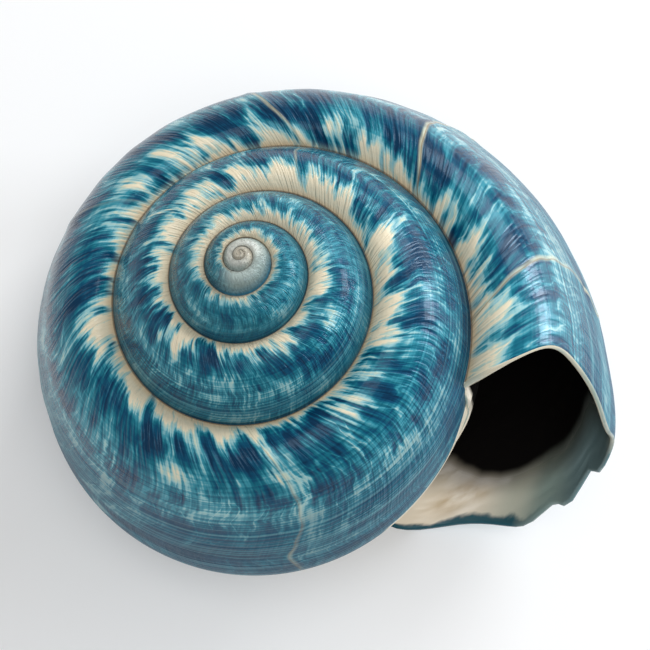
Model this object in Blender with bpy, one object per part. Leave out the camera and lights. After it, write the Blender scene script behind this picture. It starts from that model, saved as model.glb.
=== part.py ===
"""Spiral seashell, a low turban-like snail shell grown as one piece.

The shell is one closed body: a coiled outer skin, a thin lip around the mouth and a hollow
that winds inwards from the mouth for a little over one turn. The surface is described by a
growth position (turns of the spiral, 0 at the mouth) and a place across the whorl (0 at the
upper suture, WRAP at the lower suture, 1 at the foot of the columella).
"""
import math

import bmesh
import bpy
import numpy as np
from mathutils import Euler, Matrix, Vector

for old in list(bpy.data.objects):
    bpy.data.objects.remove(old, do_unlink=True)

# Driving dimensions of the coil, in metres and turns
SUTURE_RADIUS = 0.0223
GROWTH_RATE = 0.5571
GROWTH_DRIFT = -0.0446
SUTURE_SLOPE = 0.7897
MOUTH_BEARING = math.radians(-21.1)
FIRST_TURN = -4.6
STEPS_PER_TURN = 36
HOLLOW_STEPS_PER_TURN = 24
LIP_SWEEP_STEPS = 1

# Driving dimensions of the hollow, as parts of the suture radius
WALL = 0.058
LIP_EDGE = 0.026
CALLUS = 0.036
HOLLOW_TURNS = 1.15
LIP_TAPER_TURNS = 0.09
FLARE = 0.035
COLUMELLA_FOOT = -2.08
FOOT_SPREAD = 0.04

# Rest attitude, in degrees: the shell lies stably with the spire up, on its base and its lip,
# which are worn flat by a hair where they touch the ground
REST_TURN = (-5.467, -15.373, 0.0)
REST_WEAR = 0.00025

# Whorl profile seen in a plane through the axis. The upper part is measured in whorl widths
# from the upper suture (outwards, upwards). The base is measured from the axis in suture radii
# and downwards in whorl widths.
UPPER_PROFILE = ((0.0, 0.0), (0.12, 0.10), (0.365, 0.025), (0.613, -0.30), None,
                 (0.888, -0.945), (0.95, -1.26), (0.875, -1.55), (0.725, -1.78))
BASE_PROFILE = ((1.38, 1.93), (1.10, 1.97), (0.82, 1.90), (0.54, 1.75), (0.27, 1.56), (0.0, 1.45))
# Close to the axis the base bends down to the foot: share of the bend, radius, height over it
AXIS_BEND = ((0.0, 0.0, 0.0), (0.0, 0.0, 0.0), (0.0, 0.0, 0.0),
             (0.35, 0.42, 0.13), (0.80, 0.20, 0.04), (1.0, 0.0, 0.0))

# Forward reach of the lip, in turns, at places across the whorl
LIP_COURSE = ((0.0, 0.0), (0.05, -0.0165), (0.10, -0.034), (0.165, -0.039), (0.272, -0.0278),
              (0.36, -0.027), (0.42, -0.013), (0.50, 0.008), (0.60, 0.032), (0.69, 0.060),
              (0.75, 0.086), (0.82, 0.100), (0.90, 0.090), (1.0, 0.050))

# The lip flares outwards over its last stretch, most at one place across the whorl
FLARE_TURNS = 0.045
FLARE_PLACE = 0.43
FLARE_SPREAD = 0.13
FOOT_SPREAD_START = 0.72


def spline_weights(knots, places):
    """Weights of a natural cubic spline through the knots, one row for each place."""
    count = len(knots)
    gaps = np.diff(knots)
    left = np.zeros((count, count))
    right = np.zeros((count, count))
    left[0, 0] = 1.0
    left[-1, -1] = 1.0
    for i in range(1, count - 1):
        left[i, i - 1] = gaps[i - 1]
        left[i, i] = 2.0 * (gaps[i - 1] + gaps[i])
        left[i, i + 1] = gaps[i]
        right[i, i - 1] = 6.0 / gaps[i - 1]
        right[i, i] = -6.0 / gaps[i - 1] - 6.0 / gaps[i]
        right[i, i + 1] = 6.0 / gaps[i]
    bend = np.linalg.solve(left, right)
    weights = np.zeros((len(places), count))
    for row, place in enumerate(places):
        k = int(min(max(np.searchsorted(knots, place, side="right") - 1, 0), count - 2))
        gap = gaps[k]
        a = (knots[k + 1] - place) / gap
        b = (place - knots[k]) / gap
        weights[row, k] += a
        weights[row, k + 1] += b
        weights[row] += ((a ** 3 - a) * bend[k] + (b ** 3 - b) * bend[k + 1]) * gap * gap / 6.0
    return weights


def growth(turn):
    return math.exp(GROWTH_RATE * turn + GROWTH_DRIFT * turn * turn)


def profile_points(turn, foot=COLUMELLA_FOOT, girth=1.0):
    """Control points (radius, height) of the whorl profile at one growth position."""
    size = growth(turn)
    slope = math.hypot(1.0, SUTURE_SLOPE)
    width = (growth(turn + 1.0) - size) * slope
    points = []
    for place in UPPER_PROFILE:
        out, up = place if place else (1.0 / slope, -SUTURE_SLOPE / slope)
        points.append((size + width * out, -SUTURE_SLOPE * size + width * up))
    for (out, down), (share, reach, rise) in zip(BASE_PROFILE, AXIS_BEND):
        free = (out * size, -SUTURE_SLOPE * size - width * down)
        radius = free[0] * (1.0 - share) + reach * girth * share
        points.append((radius, free[1] * (1.0 - share) + (foot + rise * girth) * share))
    return np.array(points)


def free_foot(turn):
    """Height at which the base of a whorl would meet the axis by itself."""
    size = growth(turn)
    width = (growth(turn + 1.0) - size) * math.hypot(1.0, SUTURE_SLOPE)
    return -SUTURE_SLOPE * size - width * BASE_PROFILE[-1][1]


reference = profile_points(-0.5)
lengths = np.concatenate([[0.0], np.cumsum(np.hypot(*np.diff(reference, axis=0).T))])
KNOTS = lengths / lengths[-1]
WRAP = float(KNOTS[UPPER_PROFILE.index(None)])


def smooth(value):
    value = min(max(value, 0.0), 1.0)
    return value * value * (3.0 - 2.0 * value)


# Columns across the whorl: from the upper suture to the lower one, then on to the columella
SPIRE_COLUMNS = 8
BASE_COLUMNS = 12
PLACES = [WRAP * (i / SPIRE_COLUMNS) ** 1.3 for i in range(SPIRE_COLUMNS + 1)]
PLACES += [WRAP + (1.0 - WRAP) * i / BASE_COLUMNS for i in range(1, BASE_COLUMNS + 1)]
WEIGHTS = spline_weights(KNOTS, PLACES)
lip_course = np.array(LIP_COURSE)
REACH = spline_weights(lip_course[:, 0], PLACES) @ lip_course[:, 1]
SWEEP = LIP_SWEEP_STEPS / STEPS_PER_TURN
REACH = REACH - (REACH[SPIRE_COLUMNS] + SWEEP) * np.array([min(p / WRAP, 1.0) for p in PLACES])
REACH[0] = 0.0
LAST_COLUMN = len(PLACES) - 1
TURN_ROWS = STEPS_PER_TURN - LIP_SWEEP_STEPS


def across(row_turn, column, foot=COLUMELLA_FOOT, girth=1.0):
    """Radius, height and growth position of one outer skin point."""
    place = PLACES[column]
    spread = FOOT_SPREAD * smooth((place - FOOT_SPREAD_START) / (1.0 - FOOT_SPREAD_START))
    turn = row_turn + REACH[column] - spread * min(max(1.0 + 2.0 * row_turn, -1.0), 1.0)
    radius, height = WEIGHTS[column] @ profile_points(turn, foot, girth)
    flare = FLARE * smooth(row_turn / FLARE_TURNS + 1.0)
    radius += flare * math.exp(-((place - FLARE_PLACE) / FLARE_SPREAD) ** 2)
    return radius, height, turn


def placed(radius, height, turn):
    bearing = MOUTH_BEARING - 2.0 * math.pi * turn
    return (SUTURE_RADIUS * radius * math.cos(bearing), SUTURE_RADIUS * radius * math.sin(bearing),
            SUTURE_RADIUS * height)


mesh = bmesh.new()
row_count = int(round(-FIRST_TURN * STEPS_PER_TURN))
skin = {}

# Outer skin: the spiral strip, then the base of the last whorl
foot = mesh.verts.new((0.0, 0.0, SUTURE_RADIUS * COLUMELLA_FOOT))
for row in range(row_count + 1):
    row_turn = (row - row_count) / STEPS_PER_TURN
    last = LAST_COLUMN - 1 if row >= row_count - TURN_ROWS else SPIRE_COLUMNS - 1
    for column in range(last + 1):
        if column == 0 and row >= TURN_ROWS:
            continue
        if column == SPIRE_COLUMNS and row == row_count - TURN_ROWS:
            continue
        skin[row, column] = mesh.verts.new(placed(*across(row_turn, column)))
for row in range(row_count + 1 - TURN_ROWS):
    edge = mesh.verts.new(placed(*across((row - row_count) / STEPS_PER_TURN, SPIRE_COLUMNS)))
    skin[row, SPIRE_COLUMNS] = edge
    skin[row + TURN_ROWS, 0] = edge
for row in range(row_count - TURN_ROWS, row_count + 1):
    skin[row, LAST_COLUMN] = foot


def face(corners):
    """Add a face, leaving out repeated corners."""
    unique = []
    for corner in corners:
        if corner not in unique:
            unique.append(corner)
    if len(unique) > 2:
        mesh.faces.new(unique)


for row in range(row_count):
    last = LAST_COLUMN if row >= row_count - TURN_ROWS else SPIRE_COLUMNS
    for column in range(last):
        face((skin[row, column], skin[row + 1, column], skin[row + 1, column + 1], skin[row, column + 1]))

# Tip of the spire: a small dome over the first turn, with one ring between its rim and its top
TIP_RISE = 0.35
TIP_RING_INSET = 0.5
TIP_RING_RISE = 0.75
rim = [skin[row, 0] for row in range(TURN_ROWS)]
rim += [skin[0, column] for column in range(SPIRE_COLUMNS, 0, -1)]
middle = sum((corner.co for corner in rim[:TURN_ROWS]), Vector()) / TURN_ROWS
tip_size = SUTURE_RADIUS * growth(FIRST_TURN)
middle.z = max(corner.co.z for corner in rim) + TIP_RISE * tip_size
inner = []
for corner in rim:
    place = corner.co.lerp(middle, TIP_RING_INSET)
    place.z = corner.co.z + (middle.z - corner.co.z) * TIP_RING_RISE
    inner.append(mesh.verts.new(place))
top = mesh.verts.new(middle)
for i in range(len(rim)):
    k = (i + 1) % len(rim)
    face((rim[i], rim[k], inner[k], inner[i]))
    face((inner[i], inner[k], top))

# Mouth and hollow: the loop runs over the lip and back along the wall of the turn before.
# The wall is thicker in the corner at each seam, at the lip of the base and at the columella.
SEAM_SPREAD = 0.05
BASE_LIP_PLACE = 0.70
BASE_LIP_SPREAD = 0.14
FOOT_START = 0.74
FREE_TURNS = 0.25
loop = [(0, column) for column in range(LAST_COLUMN + 1)]
loop += [(1, column) for column in range(LAST_COLUMN - 1, SPIRE_COLUMNS, -1)]


def inset(side, column, depth):
    """Distance of the hollow from the skin, in suture radii, at one depth behind the lip."""
    place = PLACES[column]
    near_foot = smooth((place - FOOT_START) / (1.0 - FOOT_START))
    if side == 0:
        corner = math.exp(-(place / SEAM_SPREAD) ** 2)
        base_lip = math.exp(-((place - BASE_LIP_PLACE) / BASE_LIP_SPREAD) ** 2)
        thin = LIP_EDGE + 0.02 * base_lip + 0.10 * near_foot
        full = WALL + 0.07 * base_lip + 0.20 * near_foot + 0.05 * corner
    else:
        corner = math.exp(-((place - WRAP) / SEAM_SPREAD) ** 2)
        thin = 0.6 * CALLUS + 0.10 * near_foot
        full = CALLUS + 0.20 * near_foot + 0.05 * corner
    return thin + (full - thin) * smooth(depth / LIP_TAPER_TURNS)


def hollow_ring(depth):
    """One closed ring of hollow points at a depth behind the lip."""
    outline = []
    turns = []
    deep = smooth(depth / FREE_TURNS)
    foot_height = COLUMELLA_FOOT * (1.0 - deep) + free_foot(-depth) * deep
    for side, column in loop:
        row_turn = -depth - side * TURN_ROWS / STEPS_PER_TURN
        radius, height, turn = across(row_turn, column, foot_height, growth(-depth))
        outline.append((radius, height))
        turns.append(turn + side)
    outline = np.array(outline)
    centre = np.array([outline[:, 0].max() * 0.55, (outline[:, 1].max() + outline[:, 1].min()) * 0.5])
    shrink = growth(-depth) ** 0.7
    ring = []
    for i, ((side, column), point, turn) in enumerate(zip(loop, outline, turns)):
        along = outline[min(i + 1, LAST_COLUMN)] - outline[max(i - 1, 0)]
        if i == 0 or i > LAST_COLUMN:
            along = outline[(i + 1) % len(loop)] - outline[i - 1]
        toward = centre - point
        distance = float(np.hypot(*toward))
        place = PLACES[column]
        pull = 0.9 * math.exp(-(place / 0.03) ** 2) * (deep if i == 0 else 1.0) if side == 0 else 0.0
        pull = max(pull, smooth((place - 0.86) / 0.10), 0.15)
        square = np.array([along[1], -along[0]]) / float(np.hypot(*along))
        away = square * (1.0 - pull) + toward / distance * pull
        away /= float(np.hypot(*away))
        step = min(inset(side, column, depth) * shrink, distance * 0.6)
        radius, height = point + away * step
        ring.append(placed(radius, height, turn))
    return ring


previous = [skin[row_count - side * TURN_ROWS, column] for side, column in loop]
hollow_rows = int(round(HOLLOW_TURNS * HOLLOW_STEPS_PER_TURN)) - 3
depths = [LIP_TAPER_TURNS * i / 3 for i in range(3)]
depths += [LIP_TAPER_TURNS + (HOLLOW_TURNS - LIP_TAPER_TURNS) * i / hollow_rows for i in range(hollow_rows + 1)]
for depth in depths:
    current = [mesh.verts.new(place) for place in hollow_ring(depth)]
    for i in range(len(loop)):
        k = (i + 1) % len(loop)
        face((previous[i], previous[k], current[k], current[i]))
    previous = current
innermost = mesh.verts.new(sum((corner.co for corner in previous), Vector()) / len(previous))
for i in range(len(previous)):
    face((previous[i], previous[(i + 1) % len(previous)], innermost))

bmesh.ops.recalc_face_normals(mesh, faces=mesh.faces)
if mesh.calc_volume(signed=True) < 0.0:
    bmesh.ops.reverse_faces(mesh, faces=mesh.faces)

# Turn to the rest attitude, then put the origin under the middle of the shell on the ground
turn_matrix = Euler(tuple(math.radians(angle) for angle in REST_TURN), "XYZ").to_matrix().to_4x4()
bmesh.ops.transform(mesh, matrix=turn_matrix, verts=mesh.verts)
lowest = min(corner.co.z for corner in mesh.verts)
for corner in mesh.verts:
    corner.co.z = max(corner.co.z, lowest + REST_WEAR)
low = [min(corner.co[axis] for corner in mesh.verts) for axis in range(3)]
high = [max(corner.co[axis] for corner in mesh.verts) for axis in range(3)]
shift = Matrix.Translation((-(low[0] + high[0]) / 2.0, -(low[1] + high[1]) / 2.0, -low[2]))
bmesh.ops.transform(mesh, matrix=shift, verts=mesh.verts)
bmesh.ops.triangulate(mesh, faces=mesh.faces)

data = bpy.data.meshes.new("seashell")
mesh.to_mesh(data)
mesh.free()
for polygon in data.polygons:
    polygon.use_smooth = True

material = bpy.data.materials.new("shell")
material.use_nodes = True
surface = material.node_tree.nodes["Principled BSDF"]
surface.inputs["Base Color"].default_value = (0.10, 0.27, 0.36, 1.0)
surface.inputs["Roughness"].default_value = 0.28
data.materials.append(material)

shell = bpy.data.objects.new("seashell", data)
bpy.context.scene.collection.objects.link(shell)
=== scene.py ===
import math

import bmesh
import bpy
import numpy as np
from mathutils import Euler, Matrix, Vector


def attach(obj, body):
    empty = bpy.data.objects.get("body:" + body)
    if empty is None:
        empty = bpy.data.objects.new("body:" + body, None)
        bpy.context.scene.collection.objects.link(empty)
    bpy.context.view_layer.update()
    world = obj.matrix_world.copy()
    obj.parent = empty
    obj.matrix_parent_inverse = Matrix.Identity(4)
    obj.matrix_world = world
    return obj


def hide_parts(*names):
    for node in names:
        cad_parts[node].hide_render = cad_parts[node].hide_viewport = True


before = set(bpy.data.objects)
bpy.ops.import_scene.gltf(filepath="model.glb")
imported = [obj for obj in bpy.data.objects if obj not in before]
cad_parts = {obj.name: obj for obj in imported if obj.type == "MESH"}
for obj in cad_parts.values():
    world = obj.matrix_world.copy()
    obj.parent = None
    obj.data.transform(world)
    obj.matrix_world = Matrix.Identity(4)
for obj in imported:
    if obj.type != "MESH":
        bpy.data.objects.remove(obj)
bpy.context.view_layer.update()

# The shell: one body of lime that the snail laid down at its lip, turn after turn, with a polished
# skin and a glazed mouth. Each point of the skin has an age in turns, 0 at the lip and below 0
# before it, and a place across: 0 at the upper seam, WRAP at the lower one, 1 at the columella.

# The upper seam's distance from the axis at the lip, in metres. The coil's sizes are in this unit
SUTURE_RADIUS = 0.0223
GROWTH_RATE = 0.5571
GROWTH_DRIFT = -0.0446
SUTURE_SLOPE = 0.7897
MOUTH_BEARING = math.radians(-21.1)
COLUMELLA_FOOT = -2.08
# The skin by the columella is drawn out along the coil, and the lip flares a little
FOOT_SPREAD = 0.04
FOOT_SPREAD_START = 0.72
FLARE = 0.035
FLARE_TURNS = 0.045
FLARE_PLACE = 0.43
FLARE_SPREAD = 0.13
# The whorl's profile as (out, up) in whorl widths, with None at the lower seam. The base follows
# it as (out, down), drawn to the foot of the columella by (share, reach, rise)
UPPER_PROFILE = ((0.0, 0.0), (0.12, 0.10), (0.365, 0.025), (0.613, -0.30), None,
                 (0.888, -0.945), (0.95, -1.26), (0.875, -1.55), (0.725, -1.78))
BASE_PROFILE = ((1.38, 1.93), (1.10, 1.97), (0.82, 1.90), (0.54, 1.75), (0.27, 1.56), (0.0, 1.45))
AXIS_BEND = ((0.0, 0.0, 0.0), (0.0, 0.0, 0.0), (0.0, 0.0, 0.0),
             (0.35, 0.42, 0.13), (0.80, 0.20, 0.04), (1.0, 0.0, 0.0))
# How far the lip runs ahead of its upper end, as (place, turns)
LIP_COURSE = ((0.0, 0.0), (0.05, -0.0165), (0.10, -0.034), (0.165, -0.039), (0.272, -0.0278),
              (0.36, -0.020), (0.42, -0.019), (0.50, 0.0056), (0.60, 0.0312), (0.69, 0.0545),
              (0.75, 0.0965), (0.82, 0.122), (0.90, 0.098), (1.0, 0.050))

# How finely the skin is laid out. From the upper seam to the lower one the growth lines fall back
# by one part of a turn, a whole number of steps, so that the whorls meet corner to corner
TURN_PARTS = 36
SEAM_STEPS = 7
TURN_STEPS = TURN_PARTS * SEAM_STEPS
SEAM_SWEEP = 1.0 / TURN_PARTS
FIRST_TURN = -6.25
SPIRE_COLUMNS = 36
SEAM_CROWDING = 1.3
BASE_COLUMNS = 56
# The age whose profile gives the places their measure
MEASURED_AGE = -0.5


def smooth(value):
    value = np.clip(value, 0.0, 1.0)
    return value * value * (3.0 - 2.0 * value)


def bell(value, middle, spread):
    return np.exp(-((value - middle) / spread) ** 2)


def spline_weights(knots, places):
    """Weights of a natural cubic spline through the knots, one row for each place."""
    knots = np.asarray(knots, float)
    places = np.asarray(places, float)
    count = len(knots)
    gaps = np.diff(knots)
    left = np.eye(count)
    right = np.zeros((count, count))
    for i in range(1, count - 1):
        left[i, i - 1:i + 2] = (gaps[i - 1], 2.0 * (gaps[i - 1] + gaps[i]), gaps[i])
        right[i, i - 1:i + 2] = (6.0 / gaps[i - 1], -6.0 / gaps[i - 1] - 6.0 / gaps[i], 6.0 / gaps[i])
    bend = np.linalg.solve(left, right)
    k = np.clip(np.searchsorted(knots, places, side="right") - 1, 0, count - 2)
    gap = gaps[k][:, None]
    a = (knots[k + 1] - places)[:, None] / gap
    b = (places - knots[k])[:, None] / gap
    corner = np.eye(count)
    curved = (a ** 3 - a) * bend[k] + (b ** 3 - b) * bend[k + 1]
    return a * corner[k] + b * corner[k + 1] + curved * gap * gap / 6.0


def growth(turn):
    return np.exp(GROWTH_RATE * turn + GROWTH_DRIFT * turn * turn)


def profile_points(turn, foot=COLUMELLA_FOOT, girth=1.0):
    """Radii and heights of the control points of the whorl profile, at an array of ages."""
    size = growth(turn)
    slope = math.hypot(1.0, SUTURE_SLOPE)
    width = (growth(turn + 1.0) - size) * slope
    radii = []
    heights = []
    for place in UPPER_PROFILE:
        out, up = place if place else (1.0 / slope, -SUTURE_SLOPE / slope)
        radii.append(size + width * out)
        heights.append(-SUTURE_SLOPE * size + width * up)
    for (out, down), (share, reach, rise) in zip(BASE_PROFILE, AXIS_BEND):
        radii.append(out * size * (1.0 - share) + reach * girth * share)
        free = -SUTURE_SLOPE * size - width * down
        heights.append(free * (1.0 - share) + (foot + rise * girth) * share)
    return np.stack(radii, -1), np.stack(heights, -1)


reference_radii, reference_heights = profile_points(np.float64(MEASURED_AGE))
lengths = np.concatenate([[0.0], np.cumsum(np.hypot(np.diff(reference_radii), np.diff(reference_heights)))])
KNOTS = lengths / lengths[-1]
WRAP = float(KNOTS[UPPER_PROFILE.index(None)])
lip_course = np.array(LIP_COURSE)
seam_reach = (spline_weights(lip_course[:, 0], [WRAP]) @ lip_course[:, 1])[0]


def lip_reach(places):
    """How far the growth lines reach forwards at each place, in turns."""
    reach = spline_weights(lip_course[:, 0], places) @ lip_course[:, 1]
    return np.where(places <= 0.0, 0.0, reach - (seam_reach + SEAM_SWEEP) * np.minimum(places / WRAP, 1.0))


# Growth rests: ridges where the snail paused, as (age at the seam, lean, height in metres,
# strength of the pale line)
RESTS = ((-0.162, 0.006, 0.00022, 0.95), (-0.045, 0.016, 0.00014, 0.80), (-0.441, 0.012, 0.00014, 0.22),
         (-0.276, 0.022, 0.00016, 0.60), (-0.798, 0.006, 0.00008, 0.40), (-1.232, 0.004, 0.00006, 0.40))
REST_LEAN_PLACE = 0.17
REST_WIDTH = 0.0045
# Coarse growth folds, unevenly spaced
FOLDS_A_TURN = 26.0
FOLD_SWAY = 2.0
SWAYS_A_TURN = 5.0
FOLD_HEIGHT = 0.000035
FOLD_START = 0.05
# Where rests and folds fade out
SEAM_FADE = 0.012
BASE_REACH = 0.108
LIP_FADE_TURNS = 0.01
FOOT_FADE = 0.15
# Scallops worn into the lower right of the lip, as (place, depth in turns, width)
SCALLOPS = ((0.496, 0.0125, 0.020), (0.557, 0.0108, 0.026))
SCALLOP_TURNS = 0.03
# The older whorl is dissolved a little beside the mouth, under the inner lip
DENT = 0.056
DENT_AGE = -0.96
DENT_TURNS = 0.12
DENT_PLACE = 0.44
DENT_SPREAD = 0.12
DENT_START = 0.04


def skin(ages, places, foot=COLUMELLA_FOOT, girth=1.0):
    """Radius, height and growth position of skin points, for ages by places."""
    ages = np.asarray(ages, float)[:, None]
    places = np.asarray(places, float)
    spread = FOOT_SPREAD * smooth((places - FOOT_SPREAD_START) / (1.0 - FOOT_SPREAD_START))
    turn = ages + lip_reach(places) - spread * np.clip(1.0 + 2.0 * ages, -1.0, 1.0)
    near_lip = smooth(ages / SCALLOP_TURNS + 1.0)
    for place, depth, width in SCALLOPS:
        turn = turn - near_lip * depth * bell(places, place, width)
    weights = spline_weights(KNOTS, places)
    radii, heights = profile_points(turn, foot, girth)
    radius = (radii * weights).sum(-1)
    height = (heights * weights).sum(-1)
    flare = FLARE * smooth(ages / FLARE_TURNS + 1.0)
    dent = DENT * bell(ages, DENT_AGE, DENT_TURNS) * smooth((places - WRAP) / DENT_START)
    radius = radius + flare * bell(places, FLARE_PLACE, FLARE_SPREAD)
    return radius - dent * bell(places, DENT_PLACE, DENT_SPREAD), height, turn


def placed(radius, height, turn):
    """Points in metres in the coil's own frame, with the tip of the spire at its origin."""
    bearing = MOUTH_BEARING - 2.0 * math.pi * turn
    return SUTURE_RADIUS * np.stack([radius * np.cos(bearing), radius * np.sin(bearing), height], -1)


def relief(ages, places):
    """Height of the growth rests and the coarse growth folds over the smooth skin, in metres."""
    ages = np.asarray(ages, float)[:, None]
    places = np.asarray(places, float)
    lean = 1.0 - np.exp(-places / REST_LEAN_PLACE)
    height = np.zeros((len(ages), len(places)))
    for age, slant, rise, line_strength in RESTS:
        height = height + rise * bell(ages, age - slant * lean, REST_WIDTH)
    size = np.minimum(growth(ages), 1.0)
    turned = 2.0 * math.pi * ages
    folds = np.sin(FOLDS_A_TURN * turned + FOLD_SWAY * np.sin(SWAYS_A_TURN * turned))
    height = height + FOLD_HEIGHT * size * folds * smooth(places / FOLD_START)
    lower_end = WRAP + BASE_REACH * (places > WRAP)
    away_from_seams = smooth(places / SEAM_FADE) * smooth((lower_end - places) / SEAM_FADE)
    return height * away_from_seams * smooth(-ages / LIP_FADE_TURNS) * smooth((1.0 - places) / FOOT_FADE)


# The shell as it lies at rest: turned to its stable attitude, its tip over this place
REST_TURN = Euler(tuple(math.radians(angle) for angle in (-5.467, -15.373, 0.0)), "XYZ").to_matrix()
TIP_PLACE = Vector((-0.0137226, -0.0008582, 0.0491231))


def at_rest(points):
    """Coil points brought to the resting place, worn flat where the shell touches the ground."""
    turned = points @ np.array(REST_TURN).T + np.array(TIP_PLACE)
    turned[..., 2] = np.maximum(turned[..., 2], 0.0)
    return turned


def raised(ages, places):
    """Resting places of skin points, lifted along the surface normal by the relief."""
    points = placed(*skin(ages, places))
    along = np.gradient(points, axis=0)
    across = np.gradient(points, axis=1)
    normal = np.cross(along, across)
    length = np.linalg.norm(normal, axis=-1, keepdims=True)
    normal = np.where(length > 1e-14, normal / np.maximum(length, 1e-14), 0.0)
    return at_rest(points + normal * relief(ages, places)[..., None])


def patch(points, marks, finish):
    """A grid bent to a table of points. Its corners carry their marks as a UV map."""
    rows, columns = points.shape[0] - 1, points.shape[1] - 1
    grid = bmesh.new()
    bmesh.ops.create_grid(grid, x_segments=rows, y_segments=columns, size=0.5)
    marked = grid.loops.layers.uv.new("growth")
    stations = {}
    for corner in grid.verts:
        station = (round((corner.co.x + 0.5) * rows), round((corner.co.y + 0.5) * columns))
        stations[corner] = station
        corner.co = points[station]
    for face in grid.faces:
        face.material_index = finish
        face.smooth = True
        for loop in face.loops:
            loop[marked].uv = marks[stations[loop.vert]]
    mesh = bpy.data.meshes.new("patch")
    grid.to_mesh(mesh)
    grid.free()
    return mesh


def table(first, second):
    """Every pairing of two lists of marks, as a grid of (first, second)."""
    return np.stack(np.meshgrid(first, second, indexing="ij"), -1)


spire_rows = int(round(-FIRST_TURN * TURN_STEPS))
seam_rows = TURN_STEPS - SEAM_STEPS
spire_ages = (np.arange(spire_rows + 1) - spire_rows) / TURN_STEPS
spire_places = WRAP * (np.arange(SPIRE_COLUMNS + 1) / SPIRE_COLUMNS) ** SEAM_CROWDING
spire_places[-1] = WRAP
base_ages = (np.arange(seam_rows + 1) - seam_rows) / TURN_STEPS
base_places = WRAP + (1.0 - WRAP) * np.arange(BASE_COLUMNS + 1) / BASE_COLUMNS
patches = [patch(raised(spire_ages, spire_places), table(spire_ages, spire_places), 0)]
patches.append(patch(raised(base_ages, base_places), table(base_ages, base_places), 0))

# The hollow: rings behind the lip, each a copy of the skin's outline moved inwards by the
# thickness of the wall. Its marks are the place round the ring and the depth in turns.
WALL = 0.058
LIP_EDGE = 0.026
CALLUS = 0.036
CALLUS_RIM_SHARE = 0.4
HOLLOW_TURNS = 1.15
LIP_TAPER_TURNS = 0.09
# Where the wall is thicker, with its gain at the rim and its gain behind it
CORNER_FILL = 0.05
CORNER_SPREAD = 0.05
BASE_LIP_PLACE = 0.70
BASE_LIP_SPREAD = 0.14
BASE_LIP_GAINS = (0.02, 0.07)
FOOT_START = 0.74
FOOT_GAINS = (0.10, 0.20)
# Within these turns the hollow leaves the columella's foot and follows its own whorl
FREE_TURNS = 0.25
# The wall thins towards the older turns by this power of their size
WALL_POWER = 0.7
# How far a ring's points are moved towards its middle rather than square to the wall
MIDDLE_REACH = 0.55
LEAST_PULL = 0.15
CORNER_PULL = 0.9
UPPER_PULL_SPREAD = 0.05
LOWER_PULL_SPREAD = 0.065
FOOT_PULL_START = 0.86
FOOT_PULL_SPREAD = 0.10
MOST_INSET_SHARE = 0.6
# The rim is rounded forwards by at most this, and its marks run from this depth before the lip
RIM_ROUNDING = 0.045
RIM_LEAST_RADIUS = 0.35
RIM_MARK = 0.01
RIM_RINGS = 6
TAPER_RINGS = 12
HOLLOW_RINGS = 96
loop_places = np.concatenate([spire_places, base_places[1:], base_places[-2::-1]])
loop_side = np.concatenate([np.zeros(len(spire_places) + BASE_COLUMNS), np.ones(BASE_COLUMNS)])
outer_side = loop_side == 0


def inset(depth):
    """Thickness of the wall round the ring, in suture radii, at one depth behind the lip."""
    near_foot = smooth((loop_places - FOOT_START) / (1.0 - FOOT_START))
    base_lip = bell(loop_places, BASE_LIP_PLACE, BASE_LIP_SPREAD)
    corner = bell(loop_places, np.where(outer_side, 0.0, WRAP), CORNER_SPREAD)
    rim_and_behind = []
    walls = ((LIP_EDGE, CALLUS_RIM_SHARE * CALLUS), (WALL, CALLUS))
    for (outer, inner), lip_gain, foot_gain in zip(walls, BASE_LIP_GAINS, FOOT_GAINS):
        thickness = np.where(outer_side, outer + lip_gain * base_lip, inner) + foot_gain * near_foot
        fill = CORNER_FILL + np.where(outer_side, 0.0, outer - inner)
        rim_and_behind.append(thickness + corner * fill)
    thin, full = rim_and_behind
    return thin + (full - thin) * smooth(depth / LIP_TAPER_TURNS)


def hollow_ring(depth, share, forward):
    """One closed ring of the hollow at a depth, moved in by a share of the wall's thickness."""
    deep = float(smooth(depth / FREE_TURNS))
    size = float(growth(-depth))
    free_width = (float(growth(1.0 - depth)) - size) * math.hypot(1.0, SUTURE_SLOPE)
    free_foot = -SUTURE_SLOPE * size - free_width * BASE_PROFILE[-1][1]
    foot = COLUMELLA_FOOT * (1.0 - deep) + free_foot * deep
    rings = [skin([-depth - side * (1.0 - SEAM_SWEEP)], loop_places, foot, size) for side in (0, 1)]
    radius, height, turn = (np.where(outer_side, outer[0], inner[0]) for outer, inner in zip(*rings))
    turn = turn + loop_side
    outline = np.stack([radius, height], -1)[:-1]
    middle = np.array([radius.max() * MIDDLE_REACH, (height.max() + height.min()) * 0.5])
    along = np.roll(outline, -1, axis=0) - np.roll(outline, 1, axis=0)
    along /= np.linalg.norm(along, axis=1, keepdims=True) + 1e-12
    toward = middle - outline
    distance = np.linalg.norm(toward, axis=1)
    places = loop_places[:-1]
    lower_corner = bell(places, WRAP, LOWER_PULL_SPREAD) * (1.0 - deep)
    corners = np.where(outer_side[:-1], bell(places, 0.0, UPPER_PULL_SPREAD), lower_corner)
    foot_pull = smooth((places - FOOT_PULL_START) / FOOT_PULL_SPREAD)
    pull = np.maximum(np.maximum(CORNER_PULL * corners, foot_pull), LEAST_PULL)[:, None]
    away = np.stack([along[:, 1], -along[:, 0]], -1) * (1.0 - pull) + toward / distance[:, None] * pull
    away /= np.linalg.norm(away, axis=1, keepdims=True)
    step = np.minimum(inset(depth)[:-1] * share * size ** WALL_POWER, distance * MOST_INSET_SHARE)
    moved = outline + away * step[:, None]
    moved = np.concatenate([moved, moved[:1]])
    round_axis = 2.0 * math.pi * np.maximum(moved[:, 0], RIM_LEAST_RADIUS)
    ahead = forward * inset(depth).clip(0.0, RIM_ROUNDING) / round_axis
    return placed(moved[:, 0], moved[:, 1], turn + ahead * outer_side)


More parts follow.
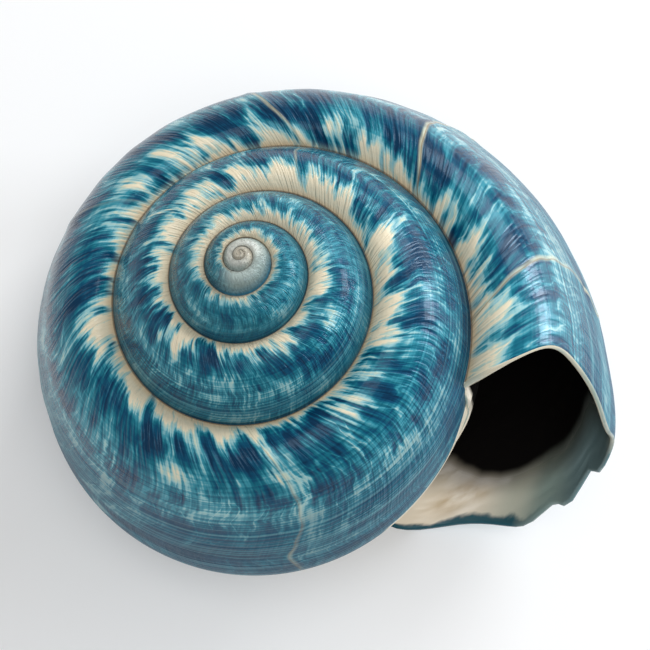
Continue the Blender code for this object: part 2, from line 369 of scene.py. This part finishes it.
rim_shares = [0.5 - 0.5 * math.cos(math.pi * i / RIM_RINGS) for i in range(1, RIM_RINGS + 1)]
rings = [hollow_ring(0.0, share, math.sqrt(share - share * share)) for share in rim_shares]
depths = [0.0] * len(rings)
depths += [LIP_TAPER_TURNS * i / TAPER_RINGS for i in range(1, TAPER_RINGS)]
depths += list(np.linspace(LIP_TAPER_TURNS, HOLLOW_TURNS, HOLLOW_RINGS))
rings += [hollow_ring(depth, 1.0, 0.0) for depth in depths[len(rings):]]
lip_edge = [placed(*(part[0] for part in skin([-side * (1.0 - SEAM_SWEEP)], loop_places))) for side in (0, 1)]
rings.insert(0, np.where(outer_side[:, None], *lip_edge))
depths.insert(0, 0.0)
rim_marks = [RIM_MARK * (share - 1.0) for share in [0.0, *rim_shares]]
depth_marks = rim_marks + depths[len(rim_marks):]
ring_marks = np.where(outer_side, loop_places, 2.0 - loop_places)
patches.append(patch(at_rest(np.stack(rings)), table(depth_marks, ring_marks)[..., ::-1], 1))

# The parts are joined into one closed body, with a cap at the tip and one at the hollow's end
MERGE_DISTANCE = 1e-6
SLIVER_LENGTH = 1e-8
TIP_CAP_REACH = 0.003
shell = bmesh.new()
for mesh in patches:
    shell.from_mesh(mesh)
    bpy.data.meshes.remove(mesh)
bmesh.ops.remove_doubles(shell, verts=shell.verts, dist=MERGE_DISTANCE)
bmesh.ops.dissolve_degenerate(shell, edges=shell.edges, dist=SLIVER_LENGTH)
open_edges = [edge for edge in shell.edges if edge.is_boundary]
caps = bmesh.ops.holes_fill(shell, edges=open_edges, sides=0)["faces"]
growth_marks = shell.loops.layers.uv["growth"]
for cap in caps:
    at_tip = (cap.calc_center_median() - TIP_PLACE).length < TIP_CAP_REACH
    cap.material_index = 0 if at_tip else 1
    for loop in cap.loops:
        loop[growth_marks].uv = (FIRST_TURN, 0.0) if at_tip else (0.5, HOLLOW_TURNS)
bmesh.ops.poke(shell, faces=caps)
for face in shell.faces:
    face.smooth = True
bmesh.ops.recalc_face_normals(shell, faces=shell.faces)
if shell.calc_volume(signed=True) < 0.0:
    bmesh.ops.reverse_faces(shell, faces=shell.faces)
shell_mesh = bpy.data.meshes.new("seashell_shell")
shell.to_mesh(shell_mesh)
shell.free()
shell_piece = bpy.data.objects.new("seashell_shell", shell_mesh)
bpy.context.scene.collection.objects.link(shell_piece)


# Stretches the noise, which stays near its middle, to about 0 to 1
NOISE_SPREAD = 2.2


class Finish:
    """A material with short calls for the nodes that build up its pattern."""

    def __init__(self, name):
        self.material = bpy.data.materials.new(name)
        self.material.use_nodes = True
        self.tree = self.material.node_tree
        self.surface = self.tree.nodes["Principled BSDF"]

    def feed(self, socket, value):
        if isinstance(value, bpy.types.NodeSocket):
            self.tree.links.new(value, socket)
        else:
            socket.default_value = value

    def give(self, name, value):
        """A property of the surface, as a value or as a pattern."""
        self.feed(self.surface.inputs[name], value)

    def maths(self, operation, *values, clamp=False):
        node = self.tree.nodes.new("ShaderNodeMath")
        node.operation = operation
        node.use_clamp = clamp
        for socket, value in zip(node.inputs, values):
            self.feed(socket, value)
        return node.outputs[0]

    def plus(self, first, second):
        return self.maths("ADD", first, second)

    def minus(self, first, second):
        return self.maths("SUBTRACT", first, second)

    def times(self, first, second, clamp=False):
        return self.maths("MULTIPLY", first, second, clamp=clamp)

    def swing(self, noise, share):
        """Noise brought to lie about 0, times a share."""
        return self.times(self.minus(noise, 0.5), share)

    def painted(self, name):
        """A number painted on the corners of the mesh."""
        node = self.tree.nodes.new("ShaderNodeAttribute")
        node.attribute_name = name
        return node.outputs["Fac"]

    def marks(self):
        """The two marks of the corners: age and place on the skin, place and depth in the hollow."""
        source = self.tree.nodes.new("ShaderNodeUVMap")
        source.uv_map = "growth"
        split = self.tree.nodes.new("ShaderNodeSeparateXYZ")
        self.tree.links.new(source.outputs[0], split.inputs[0])
        return split.outputs[0], split.outputs[1]

    def speckle(self, age, place, along, across, seed, contrast=1.0, detail=2.0):
        """Noise with its own scale along the coil and across it, spread to fill 0 to 1."""
        where = self.tree.nodes.new("ShaderNodeCombineXYZ")
        for socket, value in zip(where.inputs, (self.times(age, along), self.times(place, across), seed)):
            self.feed(socket, value)
        node = self.tree.nodes.new("ShaderNodeTexNoise")
        node.inputs["Scale"].default_value = 1.0
        node.inputs["Detail"].default_value = detail
        self.feed(node.inputs["Vector"], where.outputs[0])
        return self.maths("MULTIPLY_ADD", self.minus(node.outputs[0], 0.5), NOISE_SPREAD * contrast, 0.5)

    def ease(self, value, start, end, low=0.0, high=1.0):
        """A smooth step from low to high as the value goes from start to end."""
        node = self.tree.nodes.new("ShaderNodeMapRange")
        node.interpolation_type = "SMOOTHSTEP"
        names = ("Value", "From Min", "From Max", "To Min", "To Max")
        for name, number in zip(names, (value, start, end, low, high)):
            self.feed(node.inputs[name], number)
        return node.outputs[0]

    def near(self, value, middle, reach):
        """1 where the value is at the middle, falling to 0 at the reach on either side."""
        away = self.maths("ABSOLUTE", self.minus(value, middle))
        return self.ease(away, 0.0, reach, 1.0, 0.0)

    def ramp(self, value, stops):
        node = self.tree.nodes.new("ShaderNodeValToRGB")
        node.color_ramp.interpolation = "EASE"
        points = node.color_ramp.elements
        while len(points) < len(stops):
            points.new(1.0)
        for element, (position, colour) in zip(points, stops):
            element.position = position
            element.color = (*colour, 1.0)
        self.feed(node.inputs[0], value)
        return node.outputs[0]

    def mix(self, share, first, second):
        """The first colour, with a share of the second over it."""
        node = self.tree.nodes.new("ShaderNodeMix")
        node.data_type = "RGBA"
        colours = [socket for socket in node.inputs if socket.type == "RGBA"]
        self.feed(node.inputs[0], share)
        for socket, value in zip(colours, (first, second)):
            self.feed(socket, value if isinstance(value, bpy.types.NodeSocket) else (*value, 1.0))
        return [socket for socket in node.outputs if socket.type == "RGBA"][0]

    def bumps(self, height, distance):
        node = self.tree.nodes.new("ShaderNodeBump")
        node.inputs["Strength"].default_value = 1.0
        node.inputs["Distance"].default_value = distance
        self.feed(node.inputs["Height"], height)
        self.give("Normal", node.outputs[0])


NAVY = (0.001, 0.030, 0.078)
BLUE = (0.002, 0.068, 0.140)
TEAL = (0.006, 0.140, 0.205)
AQUA = (0.042, 0.280, 0.365)
PALE_AQUA = (0.300, 0.560, 0.590)
PALE_GREEN = (0.500, 0.640, 0.550)
CREAM = (0.850, 0.750, 0.550)
PEACH = (0.780, 0.540, 0.290)
SLATE = (0.014, 0.078, 0.140)
LINE_AQUA = (0.180, 0.450, 0.500)
PAINTED_SEAM_SHADE = (0.004, 0.016, 0.030)
REST_CREAM = (0.66, 0.66, 0.48)
REST_BROWN = (0.26, 0.14, 0.05)
SEAM_BROWN = (0.050, 0.028, 0.016)
CALLUS_CREAM = (0.80, 0.72, 0.56)
SKY_TINT = (0.55, 0.80, 1.0)
# The tone runs through these colours from the dark streaks to the flames
TONES = ((0.15, NAVY), (0.30, BLUE), (0.42, TEAL), (0.55, AQUA), (0.69, PALE_AQUA), (0.81, PALE_GREEN),
         (0.97, CREAM))
MIDDLE_TONE = 0.56
SKIN_GRAIN = 0.00011
MOST_STREAK_TONE = 0.76
# The streaks' tone across the whorl, as (place, tone)
SHOULDER = ((0.0, 0.16), (0.03, 0.18), (0.07, 0.14), (0.13, 0.165), (0.19, 0.18), (0.225, 0.20),
            (0.25, 0.15), (0.275, 0.18), (0.31, 0.12), (0.5, 0.17), (1.0, 0.38))
# Pale bands that cross the whole whorl, as (age, half width in turns, rise in tone)
PALE_BANDS = ((-0.803, 0.016, 0.15), (-0.642, 0.020, 0.15), (-0.455, 0.012, 0.14))
# The grey turn across the whorl, and the tip
GREY_TURN = ((0.0, (0.84, 0.92, 0.86)), (0.05, (0.60, 0.72, 0.68)), (0.15, (0.33, 0.43, 0.41)),
             (0.22, (0.19, 0.32, 0.36)), (0.26, (0.05, 0.22, 0.34)))
TIP_PALE = (0.95, 0.98, 0.89)
TIP_GREY = (0.54, 0.66, 0.62)
TIP_CREAM = (0.98, 0.91, 0.74)

# Cream flames run out from the upper seam, as (age, length across the whorl)
FLAMES = ((-3.6, 0.040), (-3.2, 0.052), (-3.0, 0.040), (-2.7, 0.032), (-2.5, 0.040), (-2.35, 0.048),
          (-2.1, 0.050), (-2.0, 0.046), (-1.95, 0.052), (-1.92, 0.072), (-1.89, 0.042), (-1.86, 0.054),
          (-1.82, 0.052), (-1.79, 0.064), (-1.76, 0.052), (-1.72, 0.046), (-1.68, 0.036), (-1.66, 0.078),
          (-1.645, 0.036), (-1.60, 0.038), (-1.55, 0.042), (-1.45, 0.040), (-1.36, 0.046), (-1.30, 0.056),
          (-1.28, 0.090), (-1.26, 0.056), (-1.20, 0.050), (-1.14, 0.062), (-1.08, 0.050), (-1.03, 0.044),
          (-0.99, 0.052), (-0.965, 0.024), (-0.945, 0.056), (-0.915, 0.022), (-0.885, 0.052), (-0.865, 0.030),
          (-0.845, 0.056), (-0.82, 0.026), (-0.79, 0.058), (-0.765, 0.048), (-0.752, 0.012), (-0.735, 0.052),
          (-0.705, 0.054), (-0.685, 0.030), (-0.665, 0.038), (-0.650, 0.014), (-0.625, 0.048), (-0.60, 0.028),
          (-0.575, 0.044), (-0.548, 0.012), (-0.525, 0.022), (-0.49, 0.026), (-0.455, 0.008), (-0.40, 0.004),
          (-0.33, 0.006), (-0.305, 0.044), (-0.275, 0.030), (-0.255, 0.002), (-0.20, 0.002), (-0.178, 0.036),
          (-0.160, 0.020), (-0.12, 0.008), (-0.055, 0.012), (-0.038, 0.052), (-0.022, 0.018), (-0.012, 0.050),
          (0.0, 0.060))
FLAME_SHARE = 0.72
corner_marks = np.empty(len(shell_mesh.loops) * 2)
shell_mesh.uv_layers["growth"].data.foreach_get("uv", corner_marks)


def paint(name, stops):
    """Numbers along the first mark of the corners, painted on the mesh."""
    painted = shell_mesh.attributes.new(name, "FLOAT", "CORNER")
    painted.data.foreach_set("value", np.interp(corner_marks[::2], *np.array(stops).T))


paint("flame_length", FLAMES)
skin_finish = Finish("shell_skin")
age, place = skin_finish.marks()
sway = skin_finish.speckle(age, place, 7.0, 14.0, 2.0)
bent_age = skin_finish.maths("MULTIPLY_ADD", sway, 0.012, age)
clouds = skin_finish.speckle(bent_age, place, 13.0, 11.0, 11.0, 1.3)
bars = skin_finish.speckle(bent_age, place, 42.0, 11.0, 3.0, 1.4)
streaks = skin_finish.speckle(bent_age, place, 110.0, 15.0, 5.0, 1.4)
striae = skin_finish.speckle(age, place, 330.0, 12.0, 7.0, 1.4, 1.0)
threads = skin_finish.speckle(age, place, 5.0, 190.0, 9.0, 1.5)
hairs = skin_finish.near(skin_finish.speckle(bent_age, place, 60.0, 5.0, 13.0), 0.5, 0.06)
patches_along = skin_finish.speckle(age, place, 6.0, 17.0, 31.0, 1.4)
tone = skin_finish.maths("MULTIPLY_ADD", clouds, 0.32, 0.03)
streak_share = skin_finish.ease(place, 0.15, 0.24, 1.0, 0.50)
for part, share in ((bars, 0.33), (streaks, 0.23), (striae, 0.19)):
    tone = skin_finish.plus(tone, skin_finish.times(skin_finish.swing(part, share), streak_share))
tone = skin_finish.plus(tone, skin_finish.times(hairs, 0.14))
thread_strength = skin_finish.ease(place, 0.06, 0.24, 0.06, 0.29)
tone = skin_finish.plus(tone, skin_finish.swing(threads, thread_strength))
rim_share = skin_finish.ease(place, 0.10, 0.20, 0.0, 0.30)
tone = skin_finish.plus(tone, skin_finish.swing(patches_along, rim_share))
tone = skin_finish.plus(tone, skin_finish.ramp(place, [(at, (level,) * 3) for at, level in SHOULDER]))
band_place = skin_finish.plus(bent_age, skin_finish.times(place, 0.02))
for band_age, half_width, rise in PALE_BANDS:
    band = skin_finish.times(skin_finish.near(band_place, band_age, half_width), rise)
    band = skin_finish.times(band, skin_finish.plus(streaks, 0.4))
    tone = skin_finish.plus(tone, band)
tone = skin_finish.maths("MINIMUM", tone, MOST_STREAK_TONE)
# The pattern softens on the older turns
softness = skin_finish.ease(age, -0.96, -3.0, 0.08, 0.52)
softer = skin_finish.times(skin_finish.minus(MIDDLE_TONE, tone), softness)
tone = skin_finish.plus(tone, softer)

# Cream flames: the tone rises towards the upper seam, so that their edges break into streaks
flame_length = skin_finish.times(skin_finish.painted("flame_length"), FLAME_SHARE)
reach = skin_finish.minus(flame_length, place)
raggedness = skin_finish.ease(age, -1.7, -2.6, 1.0, 0.35)
for part, share in ((bars, 0.045), (clouds, 0.040), (streaks, 0.024), (striae, 0.012)):
    reach = skin_finish.plus(reach, skin_finish.times(skin_finish.swing(part, share), raggedness))
flame = skin_finish.ease(reach, -0.058, 0.046)
tone = skin_finish.plus(tone, skin_finish.times(flame, 0.64))
# On the older turns a cream band lies along the seam
band_rise = skin_finish.ease(age, -0.95, -1.15, 0.0, 0.16)
tone = skin_finish.plus(tone, skin_finish.times(skin_finish.ease(place, 0.034, 0.004), band_rise))
colour = skin_finish.ramp(tone, TONES)
seam_side = skin_finish.times(skin_finish.ease(place, 0.016, 0.003), flame)
peach_share = skin_finish.ease(age, -0.95, -1.6, 0.6, 0.25)
colour = skin_finish.mix(skin_finish.times(seam_side, peach_share), colour, PEACH)

# The shoulder is slate blue with thin pale lines that follow the coil; painted shade darkens it at the lower
# seam
slate_share = skin_finish.ease(place, 0.17, 0.235, 0.0, 0.46)
colour = skin_finish.mix(slate_share, colour, SLATE)
line_noise = skin_finish.speckle(age, place, 1.3, 62.0, 21.0, 1.0, 1.0)
coil_lines = skin_finish.near(line_noise, 0.5, 0.07)
coil_lines = skin_finish.times(coil_lines, skin_finish.ease(place, 0.15, 0.22))
colour = skin_finish.mix(skin_finish.times(coil_lines, 0.33), colour, LINE_AQUA)
# Painted shade in the crease at the lower seam, on the older whorls where the next whorl covers it
seam_shade_mask = skin_finish.ease(place, WRAP - 0.020, WRAP - 0.003)
seam_shade_mask = skin_finish.times(seam_shade_mask, skin_finish.ease(age, -0.95, -1.02))
colour = skin_finish.mix(skin_finish.times(seam_shade_mask, 0.75), colour, PAINTED_SEAM_SHADE)

# The oldest turns: a grey-green turn with a blue rim, then a cream tip
colour = skin_finish.mix(skin_finish.ease(age, -3.58, -3.76), colour, skin_finish.ramp(place, GREY_TURN))
tip_colour = skin_finish.mix(skin_finish.ease(place, 0.06, 0.24), TIP_PALE, TIP_GREY)
colour = skin_finish.mix(skin_finish.ease(age, -3.96, -4.14), colour, tip_colour)
colour = skin_finish.mix(skin_finish.ease(age, -4.75, -5.05), colour, TIP_CREAM)

# Growth rests: a cream line with a brown hairline at its younger side
lean = skin_finish.times(place, -1.0 / REST_LEAN_PLACE)
lean = skin_finish.minus(1.0, skin_finish.maths("EXPONENT", lean))
wander = skin_finish.swing(skin_finish.speckle(0.0, place, 1.0, 11.0, 17.0, 1.0, 1.0), 0.006)
rest_line = 0.0
hairline = 0.0
for rest_age, slant, rise, line_strength in RESTS:
    course = skin_finish.maths("MULTIPLY_ADD", lean, -slant, rest_age)
    gap = skin_finish.plus(skin_finish.minus(age, course), wander)
    pale = skin_finish.times(skin_finish.near(gap, 0.0, 0.0028), line_strength)
    brown = skin_finish.times(skin_finish.near(gap, 0.0007, 0.0008), line_strength)
    rest_line = skin_finish.maths("MAXIMUM", rest_line, pale)
    hairline = skin_finish.maths("MAXIMUM", hairline, brown)
rest_share = skin_finish.ease(streaks, 0.2, 0.8, 0.40, 0.95)
rest_share = skin_finish.times(rest_share, skin_finish.ease(place, 0.28, 0.45, 1.0, 0.45))
colour = skin_finish.mix(skin_finish.times(rest_line, rest_share), colour, REST_CREAM)
colour = skin_finish.mix(skin_finish.times(hairline, 0.75), colour, REST_BROWN)

# The seam: a thin brown line at the upper edge of each whorl
seam_width = skin_finish.ease(age, -2.0, -5.0, 0.0042, 0.024)
seam_line = skin_finish.ease(skin_finish.maths("DIVIDE", place, seam_width), 1.0, 0.3)
seam_share = skin_finish.times(seam_line, skin_finish.ease(age, -3.9, -4.6, 0.78, 0.52))
colour = skin_finish.mix(seam_share, colour, SEAM_BROWN)

# The glaze of the inner lip runs out over the older whorl beside the mouth
callus_edge = skin_finish.ease(age, -0.925, -0.985, 0.412, 0.347)
callus = skin_finish.ease(skin_finish.minus(place, callus_edge), -0.003, 0.003)
callus = skin_finish.times(callus, skin_finish.ease(age, -0.865, -0.875))
colour = skin_finish.mix(callus, colour, CALLUS_CREAM)
skin_finish.give("Base Color", colour)

# The flank and the base are less polished than the upper side. Fine growth lines catch the light
skin_finish.give("Roughness", skin_finish.ease(place, 0.20, 0.32, 0.24, 0.38))
skin_finish.give("Specular IOR Level", skin_finish.ease(place, 0.20, 0.32, 0.26, 0.08))
skin_finish.give("Specular Tint", (*SKY_TINT, 1.0))
skin_finish.give("Coat Weight", skin_finish.ease(place, 0.18, 0.30, 0.12, 0.03))
skin_finish.give("Coat Roughness", 0.10)
fine = skin_finish.times(striae, 0.6)
fine = skin_finish.plus(fine, skin_finish.times(streaks, 0.5))
fine = skin_finish.plus(fine, skin_finish.times(threads, thread_strength))
skin_finish.bumps(fine, SKIN_GRAIN)
shell_mesh.materials.append(skin_finish.material)

# The glaze inside: cream on the ledge of the base, grey to teal towards the outer lip. Painted shade darkens
# it towards the hollow, and beyond a soft edge, whose depth in turns changes with the place round the mouth,
# painted shade makes it nearly black
SHADE_EDGE_DEPTH = ((0.0, 0.004), (0.40, 0.005), (0.44, 0.012), (0.463, 0.034), (0.487, 0.048), (0.504, 0.043),
               (0.541, 0.040), (0.578, 0.041), (0.612, 0.038), (0.641, 0.034), (0.664, 0.034), (0.688, 0.039),
               (0.713, 0.053), (0.743, 0.075), (0.80, 0.10), (1.25, 0.10), (1.45, 0.02), (1.60, 0.006),
               (2.0, 0.004))
# The glaze's colour round the mouth, as (half the place, colour)
LEDGE = ((0.0, (0.66, 0.60, 0.44)), (0.19, (0.50, 0.50, 0.40)), (0.225, (0.13, 0.20, 0.21)),
         (0.255, (0.15, 0.23, 0.24)), (0.285, (0.24, 0.32, 0.29)), (0.315, (0.50, 0.51, 0.42)),
         (0.345, (0.84, 0.75, 0.61)), (0.37, (0.92, 0.80, 0.62)), (0.8, (0.88, 0.80, 0.66)))
OCHRE = (0.50, 0.33, 0.13)
# Painted shade: the ledge darkens to the first colour towards the hollow, and beyond the soft edge the hollow
# is painted the second, nearly black
SHADED_GLAZE = (0.050, 0.045, 0.032)
PAINTED_HOLLOW_SHADE = (0.0035, 0.003, 0.0028)
RIM_CREAM = (0.68, 0.62, 0.47)
RIM_GREEN = (0.38, 0.48, 0.42)
RIM_TEAL = (0.060, 0.180, 0.210)
STRIP_TEAL = (0.010, 0.080, 0.110)
GLAZE_GRAIN = 0.0003

# The depth round the mouth where the painted shade of the hollow begins
paint("shade_edge_depth", SHADE_EDGE_DEPTH)
mouth_finish = Finish("mouth_glaze_and_shade")
round_place, depth = mouth_finish.marks()
blur = mouth_finish.speckle(round_place, depth, 9.0, 30.0, 4.0)
ledge = mouth_finish.ramp(mouth_finish.times(round_place, 0.5), LEDGE)
stain = mouth_finish.speckle(round_place, depth, 34.0, 60.0, 6.0, 1.2, 3.0)
ochre_place = mouth_finish.near(round_place, 0.705, 0.050)
ochre_depth = mouth_finish.near(depth, 0.026, 0.024)
ochre = mouth_finish.times(mouth_finish.times(ochre_place, ochre_depth), stain)
ledge = mouth_finish.mix(mouth_finish.times(ochre, 1.1, True), ledge, OCHRE)
inward = mouth_finish.maths("DIVIDE", depth, mouth_finish.painted("shade_edge_depth"))
shade = mouth_finish.plus(mouth_finish.swing(blur, 0.05), inward)
# Painted shade on the ledge towards the hollow, then the near-black painted shade of the hollow
ledge = mouth_finish.mix(mouth_finish.ease(shade, 0.40, 1.0, 0.0, 0.82), ledge, SHADED_GLAZE)
glaze = mouth_finish.mix(mouth_finish.ease(shade, 0.92, 1.14), ledge, PAINTED_HOLLOW_SHADE)

# The rim is cream and green, and the outer lip's is mottled with the teal of the skin
rim_colour = mouth_finish.mix(mouth_finish.ease(blur, 0.3, 0.7), RIM_CREAM, RIM_GREEN)
outer_lip = mouth_finish.near(round_place, 0.46, 0.24)
teal_share = mouth_finish.times(outer_lip, mouth_finish.ease(stain, 0.30, 0.65, 0.40, 0.90))
rim_colour = mouth_finish.mix(teal_share, rim_colour, RIM_TEAL)
glaze = mouth_finish.mix(mouth_finish.ease(depth, -0.45 * RIM_MARK, -0.6 * RIM_MARK), glaze, rim_colour)

# A teal strip, the colour of the skin outside, follows the lip round the base
strip_depth = mouth_finish.plus(depth, mouth_finish.swing(stain, 0.006))
strip = mouth_finish.times(mouth_finish.near(round_place, 0.70, 0.17), 1.9, True)
strip = mouth_finish.times(mouth_finish.ease(strip_depth, 0.0060, 0.0010), strip)
glaze = mouth_finish.mix(strip, glaze, STRIP_TEAL)
mouth_finish.give("Base Color", glaze)

# Deep inside, the glaze is dull
mouth_finish.give("Roughness", mouth_finish.ease(shade, 0.90, 1.10, 0.20, 0.90))
mouth_finish.give("Specular IOR Level", mouth_finish.ease(shade, 0.90, 1.10, 0.40, 0.02))
mouth_finish.bumps(blur, GLAZE_GRAIN)
shell_mesh.materials.append(mouth_finish.material)

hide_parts("seashell")
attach(shell_piece, "root")

# The studio: a plain white floor, a pale sky all round and large soft lights, as for a picture
# of a shell on white card
FLOOR_SIZE = 3.0
FLOOR_WHITE = (0.93, 0.93, 0.93, 1.0)
FLOOR_ROUGHNESS = 0.9
SKY_WHITE = (1.0, 1.0, 1.0, 1.0)
SKY_STRENGTH = 0.30
SHELL_MIDDLE = Vector((0.0, 0.0, 0.02))
floor_mesh = bpy.data.meshes.new("floor")
floor_grid = bmesh.new()
bmesh.ops.create_grid(floor_grid, x_segments=1, y_segments=1, size=FLOOR_SIZE)
floor_grid.to_mesh(floor_mesh)
floor_grid.free()
floor = bpy.data.objects.new("floor", floor_mesh)
bpy.context.scene.collection.objects.link(floor)
floor_finish = Finish("floor_white")
floor_finish.give("Base Color", FLOOR_WHITE)
floor_finish.give("Roughness", FLOOR_ROUGHNESS)
floor_mesh.materials.append(floor_finish.material)

world = bpy.data.worlds.new("studio")
world.use_nodes = True
world.node_tree.nodes["Background"].inputs["Color"].default_value = SKY_WHITE
world.node_tree.nodes["Background"].inputs["Strength"].default_value = SKY_STRENGTH
bpy.context.scene.world = world
bpy.context.scene.view_settings.view_transform = "Standard"


def soft_light(name, place, size, power, tint=(1.0, 1.0, 1.0)):
    """A rectangular lamp turned to the middle of the shell."""
    lamp = bpy.data.lights.new(name, "AREA")
    lamp.shape = "RECTANGLE"
    lamp.size, lamp.size_y = size
    lamp.energy = power
    lamp.color = tint
    holder = bpy.data.objects.new(name, lamp)
    holder.location = place
    holder.rotation_euler = (SHELL_MIDDLE - Vector(place)).to_track_quat("-Z", "Y").to_euler()
    bpy.context.scene.collection.objects.link(holder)


soft_light("key", (0.33, 0.50, 0.42), (0.42, 0.42), 2.6)
soft_light("side", (0.56, 0.16, 0.16), (0.20, 0.20), 2.0, (0.86, 0.92, 1.0))
soft_light("top", (-0.04, -0.14, 0.80), (0.60, 0.60), 3.2)

# The camera looks down on the spire, as in the photograph. Its place is in the coil's unit, from
# the tip, and the spire leans away from its line of sight
LENS_MILLIMETRES = 55.55
SENSOR_MILLIMETRES = 36.0
NEAREST_SEEN = 0.005
SPIRE_TILT = math.radians(19.285)
SPIRE_BEARING = math.radians(109.80)
CAMERA_PLACE = Vector((0.3578, -0.3016, 4.1667))
spire = Vector((math.sin(SPIRE_TILT) * math.cos(SPIRE_BEARING),
                math.sin(SPIRE_TILT) * math.sin(SPIRE_BEARING), math.cos(SPIRE_TILT)))
coil_to_camera = Vector((0.0, 0.0, 1.0)).rotation_difference(spire).to_matrix()
camera_to_world = REST_TURN @ coil_to_camera.transposed()
camera_data = bpy.data.cameras.new("camera")
camera_data.lens = LENS_MILLIMETRES
camera_data.sensor_width = SENSOR_MILLIMETRES
camera_data.clip_start = NEAREST_SEEN
camera = bpy.data.objects.new("camera", camera_data)
camera.matrix_world = Matrix.Translation(TIP_PLACE + camera_to_world @ CAMERA_PLACE * SUTURE_RADIUS) \
    @ camera_to_world.to_4x4()
bpy.context.scene.collection.objects.link(camera)
bpy.context.scene.camera = camera
